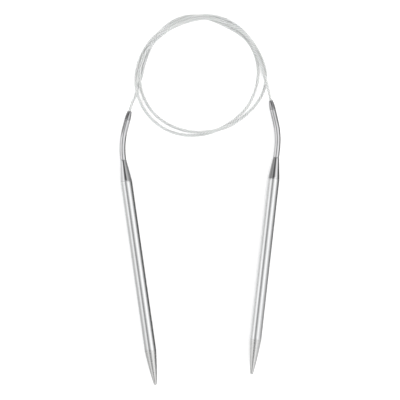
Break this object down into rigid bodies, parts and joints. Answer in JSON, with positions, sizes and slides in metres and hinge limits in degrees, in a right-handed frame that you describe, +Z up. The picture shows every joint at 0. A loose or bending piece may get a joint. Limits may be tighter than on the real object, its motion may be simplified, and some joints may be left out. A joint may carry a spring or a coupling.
{
  "type": "circular knitting needle",
  "caption": "Two bent-neck metal knitting needles joined by one long coated wire-rope cord, laid flat with the cord coiled.",
  "frame": {"origin": "on the surface that the needles lie on, below the centre of the box round the two needles without their cord", "axes": "+Y from the points towards the coiled cord, +X to the right needle, +Z up from the surface"},
  "size_m": [0.0838, 0.193, 0.006],
  "materials": {
    "cord_sheath": "clear, smooth",
    "wire_rope": "drawn wire",
    "ferrule": "plain",
    "polished_steel": "polished",
    "satin_steel": "satin",
    "turned_steel": "fine turned"
  },
  "bodies": {
    "cord_loop": {"cord_coil": "cord_sheath"},
    "left_cord_end": {"left_cord_tail": "cord_sheath", "left_core_end": "wire_rope", "left_cord_sleeve": "ferrule"},
    "left_needle": {"left_end_collar": "polished_steel", "left_neck_tube": "polished_steel", "left_reducer": "polished_steel", "left_shaft_tube": "satin_steel", "left_point": "turned_steel"},
    "right_cord_end": {"right_cord_tail": "cord_sheath", "right_core_end": "wire_rope", "right_cord_sleeve": "ferrule"},
    "right_needle": {"right_end_collar": "polished_steel", "right_neck_tube": "polished_steel", "right_reducer": "polished_steel", "right_shaft_tube": "satin_steel", "right_point": "turned_steel"}
  },
  "joints": [
    {"name": "left_cord_flex", "type": "hinge", "parent": "cord_loop", "child": "left_cord_end", "pos_m": [-0.0338, 0.0758, 0.00217], "axis": [0, 0, -1], "range_deg": [-8, 50], "stiffness_Nm_per_rad": 0.01},
    {"name": "left_needle_turn", "type": "hinge", "parent": "left_cord_end", "child": "left_needle", "pos_m": [-0.03657, 0.06835, 0.003], "axis": [-0.2565, -0.9666, 0], "continuous": true},
    {"name": "right_cord_flex", "type": "hinge", "parent": "cord_loop", "child": "right_cord_end", "pos_m": [0.03566, 0.0789, 0.00297], "axis": [0, 0, 1], "range_deg": [-8, 50], "stiffness_Nm_per_rad": 0.01},
    {"name": "right_needle_turn", "type": "hinge", "parent": "right_cord_end", "child": "right_needle", "pos_m": [0.03676, 0.07384, 0.003], "axis": [-0.2224, 0.975, 0], "continuous": true}
  ]
}
